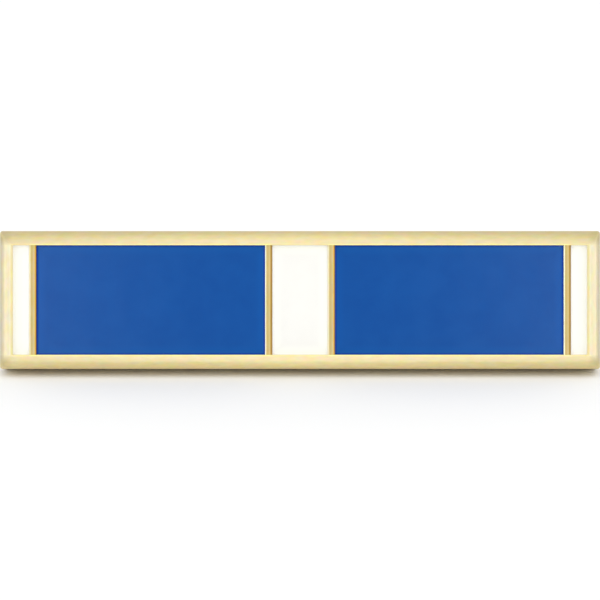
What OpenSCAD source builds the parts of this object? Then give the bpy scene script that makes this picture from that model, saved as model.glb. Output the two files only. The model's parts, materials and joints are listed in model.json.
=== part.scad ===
// Ribbon-shaped lapel pin: a struck metal bar with a raised rim, enamel stripes
// between raised cell walls, and a pointed post behind it. The pin is drawn
// lying on its back, with Z up through the face, and is then leant back to rest
// on the bar's lower back edge and on the post.

/* [Bar] */
// Length of the bar
bar_length = 17.4; // [17:0.1:24]
// Height of the bar
bar_height = 4; // [3.8:0.1:6]
// Thickness from the back to the crest of the rim
bar_thickness = 1.2; // [1:0.05:2]
// Radius of the bar's corners, seen from the front
corner_radius = 0.08; // [0.02:0.01:0.2]

/* [Rim] */
// Width of the rim along the top and the bottom
rail_width = 0.415; // [0.35:0.005:0.6]
// Width of the rim at the two ends
end_width = 0.38; // [0.35:0.005:0.6]
// Width of the rounded shoulder on the rim's outer side
shoulder_width = 0.26; // [0.1:0.01:0.27]
// Radius of that shoulder
shoulder_radius = 0.3; // [0.28:0.01:0.5]
// Bevel on the rim's inner edge
rim_bevel = 0.03; // [0.01:0.01:0.04]

/* [Cells] */
// Width of the middle white stripe
centre_stripe = 1.6; // [1:0.1:2.2]
// Width of each blue stripe
blue_stripe = 6.62; // [4:0.01:6.9]
// Width of the raised walls between the stripes
wall_width = 0.215; // [0.15:0.005:0.3]
// Bevel on the upper edges of those walls
wall_bevel = 0.045; // [0.01:0.005:0.05]
// How far the walls lie below the crest of the rim
wall_drop = 0.05; // [0.05:0.01:0.1]
// Thickness of the metal under the enamel
floor_thickness = 0.65; // [0.5:0.05:0.7]

/* [Enamel] */
// How far the enamel lies below the crest of the rim
enamel_drop = 0.12; // [0.1:0.01:0.2]
// Gap between the enamel and the metal round it
enamel_gap = 0.01; // [0.005:0.005:0.02]

/* [Post] */
// Length of the post, from the back of the bar to its tip
post_length = 8; // [7:0.5:10]
// Radius of the post
post_radius = 0.55; // [0.4:0.05:0.6]
// Radius of the blunt end of the point
tip_radius = 0.08; // [0.05:0.01:0.15]
// Length of the point
point_length = 2.2; // [2:0.1:2.6]
// Width of the groove in which a clutch snaps home
groove_width = 0.5; // [0.45:0.05:0.6]
// Depth of that groove
groove_depth = 0.16; // [0.05:0.01:0.2]
// Radius of the round foot
foot_radius = 1.5; // [1:0.1:1.7]
// How far the foot stands out from the back
foot_height = 0.2; // [0.1:0.05:0.3]
// How deep the foot is let into the back
foot_inset = 0.15; // [0.1:0.05:0.3]
// Gap between the foot and its recess
foot_gap = 0.02; // [0.01:0.01:0.04]

/* [Hidden] */
$fn = 64;

gold = "#EBD694";
blue_enamel = "#265AA5";
white_enamel = "#FDFCF5";

// How far a cutting shape runs past the surface that it cuts
past = 0.1;

// The opening inside the rim, and what it leaves for the end stripes
opening_length = bar_length - 2 * end_width;
opening_height = bar_height - 2 * rail_width;
end_stripe = (opening_length - centre_stripe) / 2 - blue_stripe - 2 * wall_width;

// Distance of each stripe and wall from the middle of the bar
inner_wall_x = (centre_stripe + wall_width) / 2;
blue_x = inner_wall_x + (wall_width + blue_stripe) / 2;
outer_wall_x = blue_x + (blue_stripe + wall_width) / 2;
end_x = outer_wall_x + (wall_width + end_stripe) / 2;

// Radius and edges of the groove, measured from the back of the bar
groove_radius = post_radius - groove_depth;
point_start = post_length - point_length;
groove_start = point_start - groove_width;

// The pin leans back until the first of two places on the post meets the floor:
// its tip, or the edge where its point begins
tip_slope = (bar_height / 2 - tip_radius) / post_length;
edge_slope = (bar_height / 2 - post_radius) / point_start;
lean = atan(min(tip_slope, edge_slope));

// Height of the bar's middle over the floor, and the reach of the pin before
// and behind it, which put the origin under the middle of the whole pin
rest_height = bar_height / 2 * cos(lean);
front_reach = shoulder_radius
    + (bar_thickness - shoulder_radius) * cos(lean)
    + (bar_height / 2 - shoulder_width) * sin(lean);
back_reach = post_length * cos(lean) + tip_radius * sin(lean);
rest_shift = (front_reach - back_reach) / 2;

// Leans what is drawn lying on its back, and sets it on the floor
module as_it_rests() {
    translate([0, rest_shift, rest_height])
        rotate([90 - lean, 0, 0])
            children();
}

// Runs a section, drawn across the bar's height, along its length
module along_length(length) {
    rotate([90, 0, 90])
        linear_extrude(length, center = true)
            children();
}

// Runs a section, drawn across the bar's length, along its height
module along_height(height) {
    rotate([90, 0, 0])
        linear_extrude(height, center = true)
            children();
}

// Section of the bar: a flat back, upright sides and rounded shoulders
module bar_section(width) {
    difference() {
        translate([-width / 2, 0])
            square([width, bar_thickness]);
        for (side = [0, 1])
            mirror([side, 0])
                translate([width / 2 - shoulder_width, bar_thickness - shoulder_radius])
                    difference() {
                        square([shoulder_width + past, shoulder_radius + past]);
                        circle(shoulder_radius);
                    }
    }
}

// Section of the opening inside the rim, bevelled where it meets the crest
module opening_section(width) {
    side = width / 2;
    polygon([
        [-side, floor_thickness],
        [side, floor_thickness],
        [side, bar_thickness - rim_bevel],
        [side + rim_bevel, bar_thickness],
        [side + rim_bevel, bar_thickness + past],
        [-side - rim_bevel, bar_thickness + past],
        [-side - rim_bevel, bar_thickness],
        [-side, bar_thickness - rim_bevel]
    ]);
}

// Section of a cell wall, rooted in the floor of the opening
module wall_section() {
    side = wall_width / 2;
    top = bar_thickness - wall_drop;
    polygon([
        [-side, floor_thickness - past],
        [side, floor_thickness - past],
        [side, top - wall_bevel],
        [side - wall_bevel, top],
        [-side + wall_bevel, top],
        [-side, top - wall_bevel]
    ]);
}

// The bar's outline from the front, with its small corner radii
module bar_plan() {
    square([bar_length - 2 * corner_radius, bar_height], center = true);
    square([bar_length, bar_height - 2 * corner_radius], center = true);
    for (x = [-1, 1], y = [-1, 1])
        translate([x * (bar_length / 2 - corner_radius), y * (bar_height / 2 - corner_radius)])
            circle(corner_radius);
}

// The struck blank: both sections crossed, so that the shoulders mitre
module blank() {
    intersection() {
        along_length(bar_length + past) bar_section(bar_height);
        along_height(bar_height + past) bar_section(bar_length);
        translate([0, 0, -past])
            linear_extrude(bar_thickness + 2 * past)
                bar_plan();
    }
}

// The opening inside the rim, mitred in the same way
module opening() {
    intersection() {
        along_length(bar_length) opening_section(opening_height);
        along_height(bar_height) opening_section(opening_length);
    }
}

// One cell wall, whose ends run into the rails
module cell_wall(x) {
    translate([x, 0, 0])
        along_height(opening_height + 2 * past)
            wall_section();
}

// The round recess in the back that the foot of the post sits in
module foot_recess() {
    translate([0, 0, -past])
        cylinder(r = foot_radius + foot_gap, h = foot_inset + foot_gap + past);
}

// Struck bar: back plate, rim and cell walls in one piece
module base() {
    color(gold)
        as_it_rests()
            difference() {
                union() {
                    difference() {
                        blank();
                        opening();
                    }
                    for (x = [-outer_wall_x, -inner_wall_x, inner_wall_x, outer_wall_x])
                        cell_wall(x);
                }
                foot_recess();
            }
}

// Enamel that fills one cell, centred at x
module enamel(x, width, tint) {
    filled = bar_thickness - enamel_drop - floor_thickness - enamel_gap;
    color(tint)
        as_it_rests()
            translate([x, 0, floor_thickness + enamel_gap + filled / 2])
                cube([width - 2 * enamel_gap, opening_height - 2 * enamel_gap, filled], center = true);
}

module enamel_white_left() {
    enamel(-end_x, end_stripe, white_enamel);
}

module enamel_blue_left() {
    enamel(-blue_x, blue_stripe, blue_enamel);
}

module enamel_white_centre() {
    enamel(0, centre_stripe, white_enamel);
}

module enamel_blue_right() {
    enamel(blue_x, blue_stripe, blue_enamel);
}

module enamel_white_right() {
    enamel(end_x, end_stripe, white_enamel);
}

// Post: a turned nail whose flat foot is let into the back
module post() {
    color(gold)
        as_it_rests()
            rotate_extrude()
                polygon([
                    [0, foot_inset],
                    [foot_radius, foot_inset],
                    [foot_radius, -foot_height],
                    [post_radius, -foot_height],
                    [post_radius, -groove_start],
                    [groove_radius, -groove_start - groove_depth],
                    [groove_radius, -point_start + groove_depth],
                    [post_radius, -point_start],
                    [tip_radius, -post_length],
                    [0, -post_length]
                ]);
}

base();
enamel_white_left();
enamel_blue_left();
enamel_white_centre();
enamel_blue_right();
enamel_white_right();
post();
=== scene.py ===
"""Looks of a ribbon-shaped lapel pin: gold-plated brass, with white and blue enamel in its cells.

The pin is made lying on its back, in millimetres, with Z up through the face. Each finished mesh is
then leant back and set down where the solids rest.
"""

import json
import math

import bmesh
import bpy
from mathutils import Euler, Matrix, Vector, noise


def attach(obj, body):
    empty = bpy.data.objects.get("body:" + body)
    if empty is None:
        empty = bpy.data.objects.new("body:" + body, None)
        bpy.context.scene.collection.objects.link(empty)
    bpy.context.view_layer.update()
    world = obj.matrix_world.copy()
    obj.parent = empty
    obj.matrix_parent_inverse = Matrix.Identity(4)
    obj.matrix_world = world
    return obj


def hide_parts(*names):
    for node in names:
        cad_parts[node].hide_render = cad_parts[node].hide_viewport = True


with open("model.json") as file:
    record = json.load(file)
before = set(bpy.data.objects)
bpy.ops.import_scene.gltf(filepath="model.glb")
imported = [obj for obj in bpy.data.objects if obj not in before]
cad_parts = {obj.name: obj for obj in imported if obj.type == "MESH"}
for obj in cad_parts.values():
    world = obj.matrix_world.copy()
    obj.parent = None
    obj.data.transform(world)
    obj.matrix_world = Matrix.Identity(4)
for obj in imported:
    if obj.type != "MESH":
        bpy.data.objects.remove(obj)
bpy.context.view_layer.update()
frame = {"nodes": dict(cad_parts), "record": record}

MM = 0.001

# How the pin rests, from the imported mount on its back
back = next(mount for mount in frame["record"]["mounts"] if mount["name"] == "back")
FACE_NORMAL = -Vector(back["axis"])
REST_TURN = Euler((math.atan2(-FACE_NORMAL.y, FACE_NORMAL.z), 0, 0))
REST_PLACE = Vector((0, back["pos_m"][1], back["pos_m"][2]))
TO_WORLD = Matrix.LocRotScale(REST_PLACE, REST_TURN, Vector((MM, MM, MM)))


def measured(node):
    """Lowest and highest corner of a CAD node before it is leant back, in millimetres."""
    to_pin = TO_WORLD.inverted()
    points = [to_pin @ vertex.co for vertex in frame["nodes"][node].data.vertices]
    low = Vector([min(point[axis] for point in points) for axis in range(3)])
    high = Vector([max(point[axis] for point in points) for axis in range(3)])
    return low, high


# The bar's main sizes and the enamel fills from left to right, as the solids have them
FILLS = [
    "enamel_white_left",
    "enamel_blue_left",
    "enamel_white_centre",
    "enamel_blue_right",
    "enamel_white_right",
]
fill_boxes = {name: measured(name) for name in FILLS}
bar_low, bar_high = measured("base")
BAR_LENGTH = bar_high.x - bar_low.x
BAR_HEIGHT = bar_high.y - bar_low.y
CREST = bar_high.z

# The rim, in millimetres as in the solids
RAIL_WIDTH = 0.415
END_WIDTH = 0.38
CORNER_RADIUS = 0.08
SHOULDER_WIDTH = 0.26
SHOULDER_RADIUS = 0.3
CELL_FLOOR = 0.65

# What striking and polishing leave: edge radii, a crown and waves on the crest, and soft corners
INNER_EDGE = 0.014
SIDE_EDGE = 0.05
BACK_EDGE = 0.04
CREST_CROWN = 0.003
SOFTEST_CORNER = 0.25
SHARPEST_CORNER = 0.012
POLISH_WAVE = 0.006
POLISH_WAVE_LENGTH = 1.6

# How far round the shoulder turns before its outer edge, in degrees, and where the side begins
SHOULDER_REACH = (SHOULDER_WIDTH - SIDE_EDGE) / (SHOULDER_RADIUS - SIDE_EDGE)
SHOULDER_TURN = math.degrees(math.asin(SHOULDER_REACH))
SIDE_TOP = (
    CREST
    - CREST_CROWN
    - SHOULDER_RADIUS
    + (SHOULDER_RADIUS - SIDE_EDGE) * math.cos(math.radians(SHOULDER_TURN))
)

# The cell walls, whose tops sweep up into the rails
ENAMEL_GAP = 0.01
first_white_high = fill_boxes["enamel_white_left"][1]
first_blue_low = fill_boxes["enamel_blue_left"][0]
WALL_WIDTH = first_blue_low.x - first_white_high.x - 2 * ENAMEL_GAP
WALL_DROP = 0.05
WALL_TOP = CREST - WALL_DROP
WALL_BEVEL = 0.03
WALL_WAVER = 0.006
WALL_WAVER_LENGTH = 0.75
WALL_ROOT = 0.1
SWEEP_LENGTH = 0.12
SWEEP_RISE = 0.035

# Where a blue cell lies, measured outwards from the middle of the bar
blue_low, blue_high = fill_boxes["enamel_blue_right"]
BLUE_MIDDLE = (blue_low.x + blue_high.x) / 2
BLUE_HALF_WIDTH = blue_high.x - BLUE_MIDDLE + ENAMEL_GAP

# The post, and the recess in the back that its foot is let into
POST_RADIUS = 0.55
POST_LENGTH = 8
POINT_LENGTH = 2.2
GROOVE_WIDTH = 0.5
GROOVE_DEPTH = 0.16
TIP_RADIUS = 0.08
TIP_EDGE = 0.03
FOOT_RADIUS = 1.5
FOOT_INSET = 0.15
FOOT_HEIGHT = 0.2
FOOT_EDGE = 0.05
FOOT_GAP = 0.02
SOLDER_FILLET = 0.08
RECESS_RADIUS = FOOT_RADIUS + FOOT_GAP
RECESS_DEPTH = FOOT_INSET + FOOT_GAP

# The enamel's surface: how it climbs the metal at its edge, ripples, and meets the cell
CLIMB = 0.002
MARGIN = 0.3
RIPPLE = 0.002
RIPPLE_LENGTH = 0.7
ENAMEL_BITE = 0.004

# Sizes in the finishes: a polishing wheel's streaks and strokes, a lathe's rings, clouds in glass
STREAK_LENGTH = 0.33
STREAK_WIDTH = 0.11
STROKE_LENGTH = 1
STROKE_SPACING = 0.05
STROKE_DEPTH = 0.003
RING_SPACING = 0.08
RING_DEPTH = 0.006
GLASS_CLOUD = 0.75

# The plate's tone on the back, also used as the painted shade at the rails' outline
BACK_TONE = "#D4C59B"

# Most of what a noise texture gives lies between these
NOISE_LOW = 0.3
NOISE_HIGH = 0.7

# Edges that turn by more than this stay crisp
CRISP_TURN = math.radians(35)


def linear(hex_colour):
    """An sRGB hex colour as the linear colour that a shader socket takes."""
    shares = [int(hex_colour[i : i + 2], 16) / 255 for i in (1, 3, 5)]
    return [s / 12.92 if s <= 0.04045 else ((s + 0.055) / 1.055) ** 2.4 for s in shares] + [1]


def feed(node, inputs):
    """Sets a node's inputs by identifier: to a value, a socket, or another node's first open output."""
    sockets = {socket.identifier: socket for socket in node.inputs}
    for name, value in inputs.items():
        if isinstance(value, bpy.types.Node):
            value = next(socket for socket in value.outputs if socket.enabled)
        if isinstance(value, bpy.types.NodeSocket):
            node.id_data.links.new(value, sockets[name])
        else:
            sockets[name].default_value = value


def add(tree, kind, inputs=None, stops=(), **settings):
    """Adds a node with its settings and inputs, and a ramp's stops as places and hex colours."""
    made = tree.nodes.new(kind)
    for name, value in settings.items():
        setattr(made, name, value)
    feed(made, inputs or {})
    for place, _ in stops[1:-1]:
        made.color_ramp.elements.new(place)
    for index, (place, hex_colour) in enumerate(stops):
        made.color_ramp.elements[index].position = place
        made.color_ramp.elements[index].color = linear(hex_colour)
    return made


def new_material(name):
    """A material with its shader, and the pin's own coordinates in millimetres for its patterns."""
    material = bpy.data.materials.new(name)
    material.use_nodes = True
    tree = material.node_tree
    place = add(tree, "ShaderNodeTexCoord").outputs["Object"]
    pin = add(
        tree,
        "ShaderNodeMapping",
        {"Vector": place, "Location": REST_PLACE, "Rotation": REST_TURN, "Scale": (MM, MM, MM)},
        vector_type="TEXTURE",
    )
    return material, tree, tree.nodes["Principled BSDF"], pin


def rim_slopes(tree, from_middle):
    """How far up the rails and up the ends a point lies, and how far down each.

    Up is 0 at the outline and 1 at the opening, and down is the other way round.
    """
    up = add(
        tree,
        "ShaderNodeMapRange",
        {
            "Vector": from_middle,
            "From_Min_FLOAT3": (BAR_LENGTH / 2, BAR_HEIGHT / 2, 0),
            "From_Max_FLOAT3": (BAR_LENGTH / 2 - END_WIDTH, BAR_HEIGHT / 2 - RAIL_WIDTH, 1),
            "To_Max_FLOAT3": (1, 1, 1),
        },
        data_type="FLOAT_VECTOR",
    )
    down = add(
        tree,
        "ShaderNodeVectorMath",
        {"Vector": (1, 1, 1), "Vector_001": up},
        operation="SUBTRACT",
    )
    up_share = add(tree, "ShaderNodeSeparateXYZ", {"Vector": up}).outputs
    down_share = add(tree, "ShaderNodeSeparateXYZ", {"Vector": down}).outputs
    return up_share["Y"], up_share["X"], down_share["Y"], down_share["X"]


def end_share(tree, down_rail, down_end):
    """A share that is 0 on a rail and 1 on an end, and grows from the mitre in each corner."""
    both = add(
        tree,
        "ShaderNodeMath",
        {"Value": down_rail, "Value_001": down_end},
        operation="ADD",
    )
    round_corner = add(
        tree,
        "ShaderNodeMath",
        {"Value": down_end, "Value_001": both},
        operation="DIVIDE",
    )
    mitre = 0.5
    return add(
        tree,
        "ShaderNodeMapRange",
        {"Value": round_corner, "From Min": mitre, "From Max": 1},
        interpolation_type="SMOOTHSTEP",
    )


def rim_colours(tree, up_rail, up_end, on_end, off_blue):
    """The plate's tones from the rim's outline up to the opening, on the rails and on the ends, with
    painted shade and painted highlights in them.
    """
    # Only along the blue does the painted highlight on the rail's inner edge show. Its tones stop at
    # this share elsewhere
    dull_edge = 0.9
    from_blue = add(tree, "ShaderNodeMath", {"Value": off_blue}, operation="ABSOLUTE")
    edge_highlight_reach = add(
        tree,
        "ShaderNodeMapRange",
        {
            "Value": from_blue,
            "From Min": BLUE_HALF_WIDTH,
            "From Max": BLUE_HALF_WIDTH + WALL_WIDTH,
            "To Min": 1,
            "To Max": dull_edge,
        },
    )
    lit_rail = add(
        tree,
        "ShaderNodeMath",
        {"Value": up_rail, "Value_001": edge_highlight_reach},
        operation="MINIMUM",
    )
    # Painted shade darkens a rail towards its outline, and a painted highlight runs along its opening
    rails = add(
        tree,
        "ShaderNodeValToRGB",
        {"Fac": lit_rail},
        stops=[
            (0, BACK_TONE),
            (0.3, "#DACB96"),
            (0.5, "#DBCD99"),
            (0.7, "#E3D3A6"),
            (0.88, "#E7D7AA"),
            (0.94, "#FDF1A2"),
            (1, "#FFF7A2"),
        ],
    )
    # On an end: painted shade at the outline, a painted highlight further in, and painted shade again at
    # the opening
    ends = add(
        tree,
        "ShaderNodeValToRGB",
        {"Fac": up_end},
        stops=[
            (0, "#CBC4AB"),
            (0.3, "#CBC09F"),
            (0.5, "#E5DAB5"),
            (0.72, "#E8DEBB"),
            (0.8, "#EEE6C3"),
            (0.88, "#E7DA9C"),
            (0.95, "#E3D7A8"),
            (1, "#D8CB9F"),
        ],
    )
    return add(
        tree,
        "ShaderNodeMix",
        {"Factor_Float": on_end, "A_Color": rails, "B_Color": ends},
        data_type="RGBA",
    )


def painted_rim_light(tree, part, along, slopes):
    """How much painted light and shade brighten or dull the rim's tone, as a gain."""
    up_rail, up_end, down_rail, down_end = slopes

    # A painted highlight brightens the shoulder in the middle of the bar, and painted shade leaves it
    # duller near the ends
    most_gain = 0.28
    middle_highlight = add(
        tree,
        "ShaderNodeMapRange",
        {"Value": along, "From Max": BAR_LENGTH / 2, "To Min": most_gain, "To Max": -most_gain},
    )
    on_slope = add(
        tree,
        "ShaderNodeMath",
        {"Value": up_rail, "Value_001": down_rail},
        operation="MULTIPLY",
    )
    highlighted = add(
        tree,
        "ShaderNodeMath",
        {"Value": on_slope, "Value_001": middle_highlight, "Value_002": 1.0},
        operation="MULTIPLY_ADD",
    )

    # Painted shade dulls the corners, which are dullest halfway up and a little in
    outer_part = 0.25
    outer_weight = 0.3
    dullest_place = 0.2
    dullest_gain = 0.7
    off_side = add(
        tree,
        "ShaderNodeMapRange",
        {"Value": up_end, "From Max": outer_part, "To Min": outer_weight, "To Max": 1},
    )
    near_end = add(
        tree,
        "ShaderNodeMath",
        {"Value": off_side, "Value_001": down_end},
        operation="MULTIPLY",
    )
    in_corner = add(
        tree,
        "ShaderNodeMath",
        {"Value": on_slope, "Value_001": near_end},
        operation="MULTIPLY",
    )
    corner_shade = add(
        tree,
        "ShaderNodeMapRange",
        {"Value": in_corner, "From Max": dullest_place, "To Min": 1, "To Max": dullest_gain},
    )

    # Painted light makes the lower shoulder a shade paler, which makes up for the shadow that it mirrors
    paler_height = 0.5
    paler_gain = 1.18
    paler = add(
        tree,
        "ShaderNodeMapRange",
        {
            "Value": part["Y"],
            "From Min": -BAR_HEIGHT / 2,
            "From Max": -BAR_HEIGHT / 2 + paler_height,
            "To Min": paler_gain,
            "To Max": 1,
        },
    )
    gain = add(
        tree,
        "ShaderNodeMath",
        {"Value": corner_shade, "Value_001": paler},
        operation="MULTIPLY",
    )
    return add(
        tree,
        "ShaderNodeMath",
        {"Value": gain, "Value_001": highlighted},
        operation="MULTIPLY",
    )


def rim_tone(tree, part, from_middle, along, off_blue):
    """Colour of the plate on the rim, sides and back, with its painted light and shade, and a share: 0
    on a rail and 1 on an end.
    """
    slopes = rim_slopes(tree, from_middle)
    up_rail, up_end, down_rail, down_end = slopes
    on_end = end_share(tree, down_rail, down_end)
    top = add(
        tree,
        "ShaderNodeVectorMath",
        {
            "Vector": rim_colours(tree, up_rail, up_end, on_end, off_blue),
            "Scale": painted_rim_light(tree, part, along, slopes),
        },
        operation="SCALE",
    )

    # Down the sides all this fades into the one tone of the back
    faded_height = 0.3
    front = add(
        tree,
        "ShaderNodeMapRange",
        {"Value": part["Z"], "From Min": faded_height, "From Max": SIDE_TOP},
    )
    tone = add(
        tree,
        "ShaderNodeMix",
        {"Factor_Float": front, "A_Color": linear(BACK_TONE), "B_Color": top},
        data_type="RGBA",
    )
    return tone, on_end


def wall_tone(tree, part, off_blue):
    """Colour of the plate on the cell walls, and a mark that is 1 on a wall and 0 elsewhere.

    A wall has a painted highlight along its left edge, brightest beside the blue, and painted shade down
    its right flank, warm beside the blue and darker beside the white.
    """
    # The walls carry their own place across, from 1 at the left flank to 2 at the right
    wall_place = add(tree, "ShaderNodeAttribute", attribute_name="wall_place").outputs["Fac"]
    on_wall = add(
        tree,
        "ShaderNodeMath",
        {"Value": wall_place, "Value_001": 0.5},
        operation="GREATER_THAN",
    )
    across = add(
        tree,
        "ShaderNodeMath",
        {"Value": wall_place, "Value_001": 1.0},
        operation="SUBTRACT",
    )
    # Painted highlight down a wall's left edge, and painted shade down its right flank
    left_of_blue = add(
        tree,
        "ShaderNodeValToRGB",
        {"Fac": across},
        stops=[
            (0, "#DFCF9E"),
            (0.01, "#E9E0C0"),
            (0.13, "#E7DEBE"),
            (0.18, "#DFD1A0"),
            (0.25, "#CBB87C"),
            (0.38, "#C8B071"),
            (0.7, "#D4C48E"),
            (0.79, "#D8B25E"),
            (0.86, "#D8A848"),
            (0.93, "#A37C38"),
            (1, "#8A6634"),
        ],
    )
    right_of_blue = add(
        tree,
        "ShaderNodeValToRGB",
        {"Fac": across},
        stops=[
            (0, "#F1E5B2"),
            (0.01, "#FFFFE4"),
            (0.12, "#FFFBD2"),
            (0.165, "#D9C993"),
            (0.23, "#CBB87C"),
            (0.38, "#C8B071"),
            (0.66, "#D9C38A"),
            (0.75, "#BC974C"),
            (0.83, "#A6843A"),
            (0.92, "#947540"),
            (1, "#B9A27A"),
        ],
    )
    # On either half of the bar, this is above 0 on the wall that has the blue to its left
    blue_side = add(
        tree,
        "ShaderNodeMath",
        {"Value": off_blue, "Value_001": part["X"]},
        operation="MULTIPLY",
    )
    past_blue = add(
        tree,
        "ShaderNodeMath",
        {"Value": blue_side, "Value_001": 0.0},
        operation="GREATER_THAN",
    )
    tone = add(
        tree,
        "ShaderNodeMix",
        {"Factor_Float": past_blue, "A_Color": left_of_blue, "B_Color": right_of_blue},
        data_type="RGBA",
    )
    return tone, on_wall


def wheel_marks(tree, pin, upright, length, width):
    """Marks of the polishing wheel, drawn out along the bar, or up and down it where it runs upright."""
    grain = add(
        tree,
        "ShaderNodeMix",
        {
            "Factor_Float": upright,
            "A_Vector": (1 / length, 1 / width, 1 / width),
            "B_Vector": (1 / width, 1 / length, 1 / width),
        },
        data_type="VECTOR",
    )
    place = add(
        tree,
        "ShaderNodeVectorMath",
        {"Vector": pin, "Vector_001": grain},
        operation="MULTIPLY",
    )
    return add(tree, "ShaderNodeTexNoise", {"Vector": place, "Scale": 1.0, "Detail": 2})


def satin_gold_plate():
    """Gold plate over struck brass, tumbled to a satin and polished, with its light and shade painted
    in.

    The eye gets a painted sheen on the crest, pale, soft and faintly streaked, painted shade leaving a
    duller and greyer gold down the shoulder, a duller and greyer gold behind, and a deeper gold on the
    cell walls, which are stoned level, with a painted highlight and painted shade on their edges.
    """
    material, tree, shader, pin = new_material("satin_gold_plate")
    part = add(tree, "ShaderNodeSeparateXYZ", {"Vector": pin}).outputs
    from_middle = add(tree, "ShaderNodeVectorMath", {"Vector": pin}, operation="ABSOLUTE")
    along = add(tree, "ShaderNodeSeparateXYZ", {"Vector": from_middle}).outputs["X"]
    off_blue = add(
        tree,
        "ShaderNodeMath",
        {"Value": along, "Value_001": BLUE_MIDDLE},
        operation="SUBTRACT",
    )
    rim, on_end = rim_tone(tree, part, from_middle, along, off_blue)
    walls, on_wall = wall_tone(tree, part, off_blue)
    plate = add(
        tree,
        "ShaderNodeMix",
        {"Factor_Float": on_wall, "A_Color": rim, "B_Color": walls},
        data_type="RGBA",
    )

    # The wheel runs along the rails, and up and down the ends and the walls. It leaves short streaks in
    # the plate's tone, which change most in their blue, and so between a deeper and a paler gold
    upright = add(
        tree,
        "ShaderNodeMath",
        {"Value": on_end, "Value_001": on_wall},
        operation="MAXIMUM",
    )
    streaks = wheel_marks(tree, pin, upright, STREAK_LENGTH, STREAK_WIDTH)
    deepest = (0.94, 0.945, 0.86)
    palest = (1.05, 1.045, 1.13)
    streak_gain = add(
        tree,
        "ShaderNodeMapRange",
        {
            "Vector": streaks.outputs["Color"],
            "From_Min_FLOAT3": (NOISE_LOW, NOISE_LOW, NOISE_LOW),
            "From_Max_FLOAT3": (NOISE_HIGH, NOISE_HIGH, NOISE_HIGH),
            "To_Min_FLOAT3": deepest,
            "To_Max_FLOAT3": palest,
        },
        data_type="FLOAT_VECTOR",
    )
    streaked = add(
        tree,
        "ShaderNodeVectorMath",
        {"Vector": plate, "Vector_001": streak_gain},
        operation="MULTIPLY",
    )

    # The strokes of its felt are drawn 0.05 mm apart, coarser than they are, so that they show
    strokes = wheel_marks(tree, pin, upright, STROKE_LENGTH, STROKE_SPACING)
    relief = add(
        tree,
        "ShaderNodeBump",
        {"Height": strokes, "Strength": 0.4, "Distance": STROKE_DEPTH * MM},
    )
    smoothest = 0.34
    roughest = 0.46
    roughness = add(
        tree,
        "ShaderNodeMapRange",
        {
            "Value": strokes,
            "From Min": NOISE_LOW,
            "From Max": NOISE_HIGH,
            "To Min": smoothest,
            "To Max": roughest,
        },
    )
    feed(
        shader,
        {"Base Color": streaked, "Metallic": 1, "Roughness": roughness, "Normal": relief},
    )
    return material


def turned_gold_plate():
    """Gold plate over turned brass: brighter than the bar, with the lathe's fine rings round it."""
    material, tree, shader, pin = new_material("turned_gold_plate")
    part = add(tree, "ShaderNodeSeparateXYZ", {"Vector": pin}).outputs
    # The rings are drawn 0.08 mm apart, coarser than the lathe's feed, so that they show
    ring_place = add(
        tree,
        "ShaderNodeMath",
        {"Value": part["Z"], "Value_001": RING_SPACING},
        operation="DIVIDE",
    )
    rings = add(
        tree,
        "ShaderNodeTexNoise",
        {"W": ring_place, "Scale": 1.0, "Detail": 2},
        noise_dimensions="1D",
    )
    tone = add(
        tree,
        "ShaderNodeMix",
        {"Factor_Float": rings, "A_Color": linear("#E9D292"), "B_Color": linear("#F3DFA6")},
        data_type="RGBA",
    )
    relief = add(
        tree,
        "ShaderNodeBump",
        {"Height": rings, "Strength": 0.5, "Distance": RING_DEPTH * MM},
    )
    feed(shader, {"Base Color": tone, "Metallic": 1, "Roughness": 0.28, "Normal": relief})
    return material


def vitreous_enamel(name, hex_colour, cloud_colour, margin_light_colour, painted_line_colour):
    """Glass enamel fired into a cell and polished: an even, faintly clouded colour under a gloss.

    Towards the metal a paler colour is painted in, as painted light against the shade that the metal
    casts, and along the metal runs a fine painted line: a painted shadow on the blue, and painted light
    on the white.
    """
    material, tree, shader, pin = new_material(name)
    cloud = add(
        tree,
        "ShaderNodeTexNoise",
        {"Vector": pin, "Scale": 1 / GLASS_CLOUD, "Detail": 4, "Roughness": 0.6},
    )
    clearest = 0.35
    cloudiest = 0.65
    clouding = add(
        tree,
        "ShaderNodeMapRange",
        {"Value": cloud, "From Min": clearest, "From Max": cloudiest},
    )
    body = add(
        tree,
        "ShaderNodeMix",
        {
            "Factor_Float": clouding,
            "A_Color": linear(hex_colour),
            "B_Color": linear(cloud_colour),
        },
        data_type="RGBA",
    )
    # The fill's margin attribute runs from 0 out on the glass to 1 at the metal
    margin = add(tree, "ShaderNodeAttribute", attribute_name="margin").outputs["Fac"]
    line_start = 0.8
    line_full = 0.86
    # Painted light: a paler colour towards the metal, against the shade that the metal casts
    margin_light = add(tree, "ShaderNodeMapRange", {"Value": margin, "From Max": line_start})
    margin_lit = add(
        tree,
        "ShaderNodeMix",
        {"Factor_Float": margin_light, "A_Color": body, "B_Color": linear(margin_light_colour)},
        data_type="RGBA",
    )
    # A fine painted line along the metal: painted shadow on the blue, painted light on the white
    edge = add(
        tree,
        "ShaderNodeMapRange",
        {"Value": margin, "From Min": line_start, "From Max": line_full},
    )
    colour = add(
        tree,
        "ShaderNodeMix",
        {"Factor_Float": edge, "A_Color": margin_lit, "B_Color": linear(painted_line_colour)},
        data_type="RGBA",
    )
    feed(shader, {"Base Color": colour, "Roughness": 0.1, "IOR": 1.5})
    return material


def seamless_paper():
    """Matt white photographic paper, which gives the eye nothing but a soft contact shadow."""
    material, _, shader, _ = new_material("seamless_paper")
    feed(shader, {"Base Color": linear("#FBFBFA"), "Roughness": 0.95})
    return material


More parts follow.
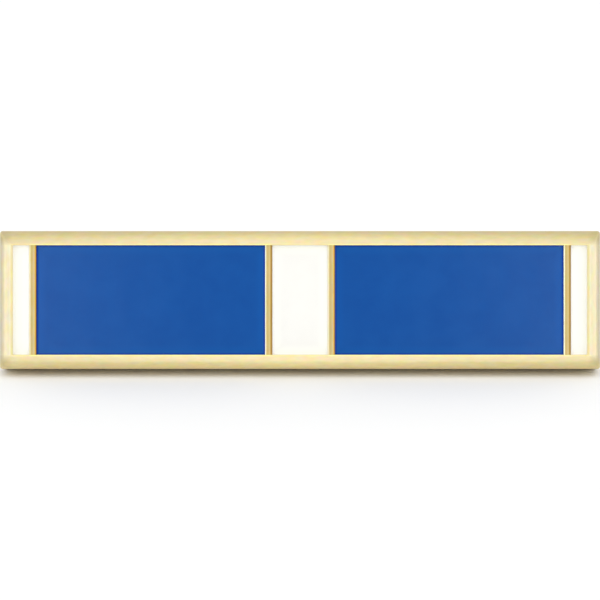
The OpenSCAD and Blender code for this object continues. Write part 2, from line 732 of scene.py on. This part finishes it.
def new_tree(name, sizes):
    """A geometry tree with inputs for its geometry and its sizes, and the sockets that give them."""
    tree = bpy.data.node_groups.new(name, "GeometryNodeTree")
    tree.interface.new_socket("Geometry", in_out="INPUT", socket_type="NodeSocketGeometry")
    tree.interface.new_socket("Geometry", in_out="OUTPUT", socket_type="NodeSocketGeometry")
    kinds = {
        float: "NodeSocketFloat",
        int: "NodeSocketInt",
        Vector: "NodeSocketVector",
        bpy.types.Object: "NodeSocketObject",
        bpy.types.Material: "NodeSocketMaterial",
    }
    for label, value in sizes.items():
        tree.interface.new_socket(label, in_out="INPUT", socket_type=kinds[type(value)])
    return tree, tree.nodes.new("NodeGroupInput").outputs


def end_tree(tree, geometry, material):
    """Ends a tree: sharp edges stay crisp, instances are realized, and the material is set."""
    turn = add(tree, "GeometryNodeInputMeshEdgeAngle").outputs["Unsigned Angle"]
    crisp = add(
        tree,
        "FunctionNodeCompare",
        {"A": turn, "B": CRISP_TURN},
        operation="GREATER_THAN",
    )
    smooth = add(
        tree,
        "GeometryNodeSetShadeSmooth",
        {"Geometry": geometry, "Shade Smooth": True},
        domain="FACE",
    )
    edged = add(
        tree,
        "GeometryNodeSetShadeSmooth",
        {"Geometry": smooth, "Selection": crisp, "Shade Smooth": False},
        domain="EDGE",
    )
    whole = add(tree, "GeometryNodeRealizeInstances", {"Geometry": edged})
    finished = add(tree, "GeometryNodeSetMaterial", {"Geometry": whole, "Material": material})
    end = add(tree, "NodeGroupOutput")
    feed(end, {end.inputs[0].identifier: finished})


def run_tree(tree, piece, sizes):
    """Sets a tree's named inputs on a piece, and leaves it as the plain mesh that the tree gives."""
    modifier = piece.modifiers.new(tree.name, "NODES")
    modifier.node_group = tree
    for item in tree.interface.items_tree:
        if item.in_out == "INPUT" and item.name in sizes:
            modifier[item.identifier] = sizes[item.name]
    piece.update_tag()
    depsgraph = bpy.context.evaluated_depsgraph_get()
    evaluated = piece.evaluated_get(depsgraph)
    result = bpy.data.meshes.new_from_object(evaluated, depsgraph=depsgraph)
    piece.modifiers.remove(modifier)
    piece.data = result
    # The blocks that a tree starts from bring an empty slot
    while None in list(result.materials):
        result.materials.pop(index=list(result.materials).index(None))


def new_piece(name, mesh):
    """Links a mesh to the scene as an object at the origin."""
    piece = bpy.data.objects.new(name, mesh)
    bpy.context.scene.collection.objects.link(piece)
    return piece


def set_down(piece, slot, *nodes):
    """Leans a finished piece back to where it rests, and has it stand for its CAD nodes."""
    piece.data.transform(TO_WORLD)
    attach(piece, "root")
    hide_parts(*nodes)


def loft(name, rings):
    """A closed mesh through rings of one count, with a face across the first and across the last."""
    count = len(rings[0])
    last = (len(rings) - 1) * count
    faces = [list(range(count)), list(range(last, last + count))]
    for start in range(0, last, count):
        for i in range(count):
            j = (i + 1) % count
            faces.append([start + i, start + j, start + count + j, start + count + i])
    mesh = bpy.data.meshes.new(name)
    mesh.from_pydata([point for ring in rings for point in ring], [], faces)
    shell = bmesh.new()
    shell.from_mesh(mesh)
    bmesh.ops.recalc_face_normals(shell, faces=shell.faces)
    shell.to_mesh(mesh)
    shell.free()
    return mesh


def arc(inset, height, radius, start, end, steps):
    """Points of an arc in a section, as inset and height, by its angle outwards from straight up."""
    angles = [math.radians(start + (end - start) * step / steps) for step in range(steps + 1)]
    return [(inset - radius * math.sin(a), height + radius * math.cos(a)) for a in angles]


def rim_section():
    """The bar's section from the cell floor, over the rim and down its side to the back."""
    inner_steps = 6
    crown_steps = 6
    shoulder_steps = 14
    edge_steps = 5
    side_cuts = (0.75, 0.5, 0.25)
    crest_edge = CREST - CREST_CROWN
    inner = RAIL_WIDTH - INNER_EDGE
    section = [(RAIL_WIDTH, CELL_FLOOR), (RAIL_WIDTH, (CELL_FLOOR + CREST) / 2)]
    section += arc(inner, crest_edge - INNER_EDGE, INNER_EDGE, -90, 0, inner_steps)
    for step in range(1, crown_steps):
        across = step / crown_steps
        crown = CREST_CROWN * 4 * across * (1 - across)
        section.append((inner + (SHOULDER_WIDTH - inner) * across, crest_edge + crown))
    section += arc(
        SHOULDER_WIDTH,
        crest_edge - SHOULDER_RADIUS,
        SHOULDER_RADIUS,
        0,
        SHOULDER_TURN,
        shoulder_steps,
    )
    section += arc(SIDE_EDGE, SIDE_TOP, SIDE_EDGE, SHOULDER_TURN, 90, edge_steps)[1:]
    section += [(0, BACK_EDGE + (SIDE_TOP - BACK_EDGE) * share) for share in side_cuts]
    section += arc(BACK_EDGE, BACK_EDGE, BACK_EDGE, 90, 180, edge_steps)
    return section


def bar_ring(inset, height):
    """One ring round the bar at an inset from its outline, counter-clockwise seen from the front."""
    corner_steps = 8
    end_steps = 30
    rail_steps = 130
    half_x = BAR_LENGTH / 2 - inset * END_WIDTH / RAIL_WIDTH
    half_y = BAR_HEIGHT / 2 - inset

    # The corner softens up the shoulder, and turns sharp from there to the opening
    up_shoulder = min(inset / SHOULDER_WIDTH, 1)
    to_opening = min(max((inset - SHOULDER_WIDTH) / (RAIL_WIDTH - SHOULDER_WIDTH), 0), 1)
    radius = CORNER_RADIUS + (SOFTEST_CORNER - CORNER_RADIUS) * up_shoulder
    radius += (SHARPEST_CORNER - SOFTEST_CORNER) * to_opening
    corners = []
    for quarter, (side_x, side_y) in enumerate(((1, -1), (1, 1), (-1, 1), (-1, -1))):
        centre = Vector((side_x * (half_x - radius), side_y * (half_y - radius), height))
        quarters = [quarter - 1 + step / corner_steps for step in range(corner_steps + 1)]
        turns = [math.pi / 2 * turned for turned in quarters]
        corners.append([centre + radius * Vector((math.cos(a), math.sin(a), 0)) for a in turns])
    ring = []
    for quarter, corner in enumerate(corners):
        following = corners[(quarter + 1) % 4]
        steps = rail_steps if quarter % 2 else end_steps
        ring += corner
        ring += [corner[-1].lerp(following[0], step / steps) for step in range(1, steps)]
    return ring


def polished(point):
    """Lowers a point of the rim's top a little, as uneven polishing does."""
    if point.z < CREST - SHOULDER_RADIUS / 2:
        return point
    depth = (1 + noise.noise(point / POLISH_WAVE_LENGTH)) / 2
    return point - Vector((0, 0, POLISH_WAVE * depth))


def struck_bar():
    """The bar without its cell walls: a rim round a floor, and a flat back with a round recess."""
    rings = [[polished(point) for point in bar_ring(*row)] for row in rim_section()]
    edge = rings[-1]
    # The back's rings pass from the bar's outline to the round recess, their points spread alike
    spread = 0.45
    back_cuts = (0.1, 0.25, 0.4, 0.55, 0.7, 0.85, 1)
    turns = [math.atan2(point.y, point.x * spread) for point in edge]
    recess = [RECESS_RADIUS * Vector((math.cos(a), math.sin(a), 0)) for a in turns]
    for share in back_cuts:
        rings.append([start.lerp(end, share) for start, end in zip(edge, recess)])
    rings.append([point + Vector((0, 0, RECESS_DEPTH)) for point in recess])
    return loft("struck_bar", rings)


def drawn_cuts(tree, place):
    """Draws the even cuts of a block from -1 to 1 together towards its sides, where it curves most."""
    turn = add(
        tree,
        "ShaderNodeVectorMath",
        {"Vector": place, "Scale": math.pi / 2},
        operation="SCALE",
    )
    return add(tree, "ShaderNodeVectorMath", {"Vector": turn}, operation="SINE")


def cell_wall_tree(sizes):
    """Stands a cell wall on each point of its input, and joins them to the bar as one struck piece."""
    tree, given = new_tree("cell_walls", sizes)
    cuts_across = 19
    cuts_along = 81
    block = add(
        tree,
        "GeometryNodeMeshCube",
        {"Size": (2, 2, 2), "Vertices X": cuts_across, "Vertices Y": cuts_along, "Vertices Z": 2},
    )
    place = add(tree, "GeometryNodeInputPosition")
    spread = drawn_cuts(tree, place)
    part = add(tree, "ShaderNodeSeparateXYZ", {"Vector": spread}).outputs
    # Across the wall the mark runs from 1 to 2, so that the bar's own 0 stands apart
    wall_place = add(
        tree,
        "ShaderNodeMath",
        {"Value": part["X"], "Value_001": 0.5, "Value_002": 1.5},
        operation="MULTIPLY_ADD",
    )
    marked = add(
        tree,
        "GeometryNodeStoreNamedAttribute",
        {"Geometry": block, "Name": "wall_place", "Value": wall_place},
        data_type="FLOAT",
        domain="FACE",
    )
    x = add(
        tree,
        "ShaderNodeMath",
        {"Value": part["X"], "Value_001": given["Half Width"]},
        operation="MULTIPLY",
    )
    y = add(
        tree,
        "ShaderNodeMath",
        {"Value": part["Y"], "Value_001": given["Half Length"]},
        operation="MULTIPLY",
    )

    # The top stays flat up to its edges, where this power rounds it off, and sweeps up at the rails
    edge_power = 10.0
    from_middle = add(tree, "ShaderNodeMath", {"Value": part["X"]}, operation="ABSOLUTE")
    rounding = add(
        tree,
        "ShaderNodeMath",
        {"Value": from_middle, "Value_001": edge_power},
        operation="POWER",
    )
    fall = add(
        tree,
        "ShaderNodeMath",
        {"Value": rounding, "Value_001": given["Bevel"]},
        operation="MULTIPLY",
    )
    rounded = add(
        tree,
        "ShaderNodeMath",
        {"Value": given["Top"], "Value_001": fall},
        operation="SUBTRACT",
    )
    to_rail = add(tree, "ShaderNodeMath", {"Value": y}, operation="ABSOLUTE")
    sweep = add(
        tree,
        "ShaderNodeMapRange",
        {
            "Value": to_rail,
            "From Min": given["Sweep Start"],
            "From Max": given["Half Length"],
            "To Max": given["Sweep Rise"],
        },
        interpolation_type="SMOOTHSTEP",
    )
    top = add(tree, "ShaderNodeMath", {"Value": rounded, "Value_001": sweep}, operation="ADD")
    z = add(
        tree,
        "ShaderNodeMapRange",
        {"Value": part["Z"], "From Min": -1, "To Min": given["Foot"], "To Max": top},
    )
    shape = add(tree, "ShaderNodeCombineXYZ", {"X": x, "Y": y, "Z": z})
    wall = add(tree, "GeometryNodeSetPosition", {"Geometry": marked, "Position": shape})
    walls = add(
        tree,
        "GeometryNodeInstanceOnPoints",
        {"Points": given["Geometry"], "Instance": wall},
    )
    standing = add(tree, "GeometryNodeRealizeInstances", {"Geometry": walls})

    # Stoning leaves the walls' edges slightly uneven
    grain = add(
        tree,
        "ShaderNodeTexNoise",
        {"Vector": place, "Scale": 1 / WALL_WAVER_LENGTH, "Detail": 1},
    )
    centred = add(
        tree,
        "ShaderNodeVectorMath",
        {"Vector": grain.outputs["Color"], "Vector_001": (0.5, 0.5, 0.5)},
        operation="SUBTRACT",
    )
    waver = add(
        tree,
        "ShaderNodeVectorMath",
        {"Vector": centred, "Scale": given["Waver"]},
        operation="SCALE",
    )
    uneven = add(tree, "GeometryNodeSetPosition", {"Geometry": standing, "Offset": waver})
    bar = add(tree, "GeometryNodeObjectInfo", {"Object": given["Bar"]}).outputs["Geometry"]
    struck = add(
        tree,
        "GeometryNodeMeshBoolean",
        {"Mesh 2": bar},
        operation="UNION",
        solver="MANIFOLD",
    )
    feed(struck, {"Mesh 2": uneven})
    end_tree(tree, struck, given["Plate"])
    return tree


def enamel_tree(sizes):
    """Fills one cell with glass: a faintly rippled top that climbs a little where it meets the metal."""
    tree, given = new_tree("enamel_fill", sizes)
    block = add(
        tree,
        "GeometryNodeMeshCube",
        {
            "Size": (2, 2, 2),
            "Vertices X": given["Cuts Along"],
            "Vertices Y": given["Cuts Up"],
            "Vertices Z": 2,
        },
    )
    place = add(tree, "GeometryNodeInputPosition")
    spread = drawn_cuts(tree, place)
    flat = add(
        tree,
        "ShaderNodeVectorMath",
        {"Vector": spread, "Vector_001": given["Half Size"]},
        operation="MULTIPLY",
    )

    # How near a point is to the metal beside it: 0 out on the glass, and 1 at the metal
    from_middle = add(tree, "ShaderNodeVectorMath", {"Vector": flat}, operation="ABSOLUTE")
    from_metal = add(
        tree,
        "ShaderNodeVectorMath",
        {"Vector": given["Half Size"], "Vector_001": from_middle},
        operation="SUBTRACT",
    )
    nearness = add(
        tree,
        "ShaderNodeMapRange",
        {
            "Vector": from_metal,
            "From_Max_FLOAT3": given["Margin"],
            "To_Min_FLOAT3": (1, 1, 0),
            "To_Max_FLOAT3": (0, 0, 0),
        },
        data_type="FLOAT_VECTOR",
    )
    near = add(tree, "ShaderNodeSeparateXYZ", {"Vector": nearness}).outputs
    margin = add(
        tree,
        "ShaderNodeMath",
        {"Value": near["X"], "Value_001": near["Y"]},
        operation="MAXIMUM",
    )
    marked = add(
        tree,
        "GeometryNodeStoreNamedAttribute",
        {"Geometry": block, "Name": "margin", "Value": margin},
        data_type="FLOAT",
        domain="POINT",
    )

    # This power keeps the climb to the last of the margin
    climb_power = 12.0
    climb = add(
        tree,
        "ShaderNodeMath",
        {"Value": margin, "Value_001": climb_power},
        operation="POWER",
    )
    climbed = add(
        tree,
        "ShaderNodeMath",
        {"Value": climb, "Value_001": given["Climb"], "Value_002": given["Top"]},
        operation="MULTIPLY_ADD",
    )
    on_bar = add(
        tree,
        "ShaderNodeVectorMath",
        {"Vector": flat, "Vector_001": given["Centre"]},
        operation="ADD",
    )
    ripple = add(
        tree,
        "ShaderNodeTexNoise",
        {"Vector": on_bar, "Scale": 1 / RIPPLE_LENGTH, "Detail": 1},
    )
    surface = add(
        tree,
        "ShaderNodeMath",
        {"Value": ripple, "Value_001": given["Ripple"], "Value_002": climbed},
        operation="MULTIPLY_ADD",
    )
    level = add(tree, "ShaderNodeSeparateXYZ", {"Vector": place}).outputs["Z"]
    z = add(
        tree,
        "ShaderNodeMapRange",
        {"Value": level, "From Min": -1, "To Min": given["Foot"], "To Max": surface},
    )
    part = add(tree, "ShaderNodeSeparateXYZ", {"Vector": on_bar}).outputs
    shape = add(
        tree,
        "ShaderNodeCombineXYZ",
        {"X": part["X"], "Y": part["Y"], "Z": z},
    )
    fill = add(tree, "GeometryNodeSetPosition", {"Geometry": marked, "Position": shape})
    end_tree(tree, fill, given["Glass"])
    return tree


def make_base(plate):
    """The struck bar with its four cell walls."""
    bar = new_piece("bar_without_walls", struck_bar())
    bar.data.materials.append(plate)
    boxes = list(fill_boxes.values())
    centres = [(left[1].x + right[0].x) / 2 for left, right in zip(boxes, boxes[1:])]
    places = bpy.data.meshes.new("wall_places")
    places.from_pydata([(x, 0, 0) for x in centres], [], [])
    base = new_piece("struck_base", places)
    opening = BAR_HEIGHT / 2 - RAIL_WIDTH
    sizes = {
        "Bar": bar,
        "Half Width": WALL_WIDTH / 2,
        "Half Length": opening + WALL_ROOT,
        "Top": WALL_TOP,
        "Foot": CELL_FLOOR - WALL_ROOT,
        "Bevel": WALL_BEVEL,
        "Sweep Start": opening - SWEEP_LENGTH,
        "Sweep Rise": SWEEP_RISE,
        "Waver": WALL_WAVER,
        "Plate": plate,
    }
    run_tree(cell_wall_tree(sizes), base, sizes)
    bpy.data.objects.remove(bar)
    set_down(base, "gold_plate", "base")


def make_fills(white, blue):
    """The five enamel fills, each in its own cell and closed against its metal."""
    white_cuts = 30
    blue_cuts = 130
    cuts_up = 70
    tree = None
    for name, (low, high) in fill_boxes.items():
        is_white = "white" in name
        half = (high - low) / 2
        grown = ENAMEL_GAP + ENAMEL_BITE
        sizes = {
            "Half Size": Vector((half.x + grown, half.y + grown, 1)),
            "Centre": Vector(((low.x + high.x) / 2, 0, 0)),
            "Cuts Along": white_cuts if is_white else blue_cuts,
            "Cuts Up": cuts_up,
            "Top": high.z - RIPPLE / 2,
            "Foot": low.z,
            "Climb": CLIMB,
            "Margin": Vector((MARGIN, MARGIN, MARGIN)),
            "Ripple": RIPPLE,
            "Glass": white if is_white else blue,
        }
        tree = tree or enamel_tree(sizes)
        fill = new_piece(name.replace("enamel", "fill"), bpy.data.meshes.new(name))
        run_tree(tree, fill, sizes)
        set_down(fill, "white_enamel" if is_white else "blue_enamel", name)


def make_post(plate):
    """The post: a turned nail with a round foot, a groove near its point and a blunt tip."""
    edge_steps = 4
    groove_steps = 10
    sides = 72
    point_start = POST_LENGTH - POINT_LENGTH
    groove_start = point_start - GROOVE_WIDTH
    quarter_turn = [math.pi / 2 * step / edge_steps for step in range(edge_steps + 1)]
    section = [(FOOT_RADIUS, FOOT_INSET)]
    for a in quarter_turn:
        radius = FOOT_RADIUS - FOOT_EDGE * (1 - math.cos(a))
        section.append((radius, -FOOT_HEIGHT + FOOT_EDGE * (1 - math.sin(a))))
    for a in quarter_turn:
        radius = POST_RADIUS + SOLDER_FILLET * (1 - math.sin(a))
        section.append((radius, -FOOT_HEIGHT - SOLDER_FILLET * (1 - math.cos(a))))
    for step in range(groove_steps + 1):
        depth = GROOVE_DEPTH * math.sin(math.pi * step / groove_steps)
        height = -groove_start - GROOVE_WIDTH * step / groove_steps
        section.append((POST_RADIUS - depth, height))
    section += [(TIP_RADIUS, -POST_LENGTH + TIP_EDGE), (TIP_RADIUS - TIP_EDGE, -POST_LENGTH)]
    turns = [2 * math.pi * side / sides for side in range(sides)]
    rings = []
    for radius, height in section:
        rings.append([(radius * math.cos(a), radius * math.sin(a), height) for a in turns])
    post = new_piece("turned_post", loft("turned_post", rings))
    post.data.materials.append(plate)
    post.data.shade_smooth()
    post.data.set_sharp_from_angle(angle=CRISP_TURN)
    set_down(post, "gold_plate_post", "post")


def set_camera():
    """A long lens square to the face, whose frame is just as wide as the bar, as the photograph's is."""
    lens = 200
    sensor = 36
    farthest = 10
    data = bpy.data.cameras.new("camera")
    data.lens = lens
    data.sensor_width = sensor
    data.clip_start = MM
    data.clip_end = farthest
    camera = bpy.data.objects.new("camera", data)
    camera.location = TO_WORLD @ Vector((0, 0, SIDE_TOP + BAR_LENGTH * lens / sensor))
    camera.rotation_euler = REST_TURN
    bpy.context.scene.collection.objects.link(camera)
    bpy.context.scene.camera = camera
    bpy.context.scene.view_settings.view_transform = "Standard"


def set_floor():
    """A pale floor of photographic paper, 0.8 m across."""
    half = 0.4
    corners = [(-half, -half, 0), (half, -half, 0), (half, half, 0), (-half, half, 0)]
    mesh = bpy.data.meshes.new("floor")
    mesh.from_pydata(corners, [], [(0, 1, 2, 3)])
    mesh.materials.append(seamless_paper())
    new_piece("floor", mesh)


def set_light_tent():
    """A white tent round the pin, dimmer overhead and behind, with a card round the lens's hole."""
    world = bpy.data.worlds.new("light_tent")
    world.use_nodes = True
    tree = world.node_tree
    direction = add(tree, "ShaderNodeTexCoord").outputs["Generated"]
    to_lens = add(
        tree,
        "ShaderNodeVectorMath",
        {"Vector": direction, "Vector_001": FACE_NORMAL},
        operation="DOT_PRODUCT",
    )
    off_lens = add(tree, "ShaderNodeMath", {"Value": to_lens}, operation="ARCCOSINE")

    # By the angle off the lens, little light comes from the hole, and the most from the card round it
    hole_inner = math.radians(1.5)
    hole_outer = math.radians(9.5)
    hole_light = 0.17
    tent_light = 1.29
    lens_hole = add(
        tree,
        "ShaderNodeMapRange",
        {
            "Value": off_lens,
            "From Min": hole_inner,
            "From Max": hole_outer,
            "To Min": hole_light,
            "To Max": tent_light,
        },
        interpolation_type="SMOOTHSTEP",
    )
    card_inner = math.radians(12)
    card_outer = math.radians(32)
    card_gain = 1.06
    far_gain = 0.92
    card = add(
        tree,
        "ShaderNodeMapRange",
        {
            "Value": off_lens,
            "From Min": card_inner,
            "From Max": card_outer,
            "To Min": card_gain,
            "To Max": far_gain,
        },
        interpolation_type="SMOOTHSTEP",
    )

    # Overhead and a little behind, the tent is at its dimmest
    dimmest = 0.8
    dimmest_way = Vector((0, 0.5, 1)).normalized()
    overhead = add(
        tree,
        "ShaderNodeVectorMath",
        {"Vector": direction, "Vector_001": dimmest_way},
        operation="DOT_PRODUCT",
    )
    shade = add(
        tree,
        "ShaderNodeMapRange",
        {"Value": overhead, "To Min": 1, "To Max": dimmest},
    )
    front = add(
        tree,
        "ShaderNodeMath",
        {"Value": lens_hole, "Value_001": card},
        operation="MULTIPLY",
    )
    tent = add(tree, "ShaderNodeMath", {"Value": front, "Value_001": shade}, operation="MULTIPLY")
    feed(tree.nodes["Background"], {"Color": linear("#FFFFFF"), "Strength": tent})
    bpy.context.scene.world = world


def set_softbox(name, direction, distance, width, height, radiance):
    """A soft light that faces the middle of the bar, from a direction in the pin's own frame."""
    data = bpy.data.lights.new(name, "AREA")
    data.shape = "RECTANGLE"
    data.size = width * MM
    data.size_y = height * MM
    data.energy = radiance * math.pi * data.size * data.size_y
    light = bpy.data.objects.new(name, data)
    outward = REST_TURN.to_matrix() @ Vector(direction).normalized()
    light.location = TO_WORLD @ Vector((0, 0, CREST)) + outward * distance * MM
    light.rotation_euler = outward.to_track_quat("Z", "Y").to_euler()
    bpy.context.scene.collection.objects.link(light)


set_camera()
set_floor()
set_light_tent()
for name, side in (("left_softbox", -0.8), ("right_softbox", 0.8)):
    set_softbox(name, (side, 0.2, 0.6), distance=600, width=300, height=300, radiance=0.9)
make_base(satin_gold_plate())
make_fills(
    vitreous_enamel("white_vitreous_enamel", "#F3F2ED", "#F1F0EB", "#FAFBF4", "#FDFFFF"),
    vitreous_enamel("blue_vitreous_enamel", "#064B98", "#094F9C", "#0953A4", "#003DA5"),
)
make_post(turned_gold_plate())
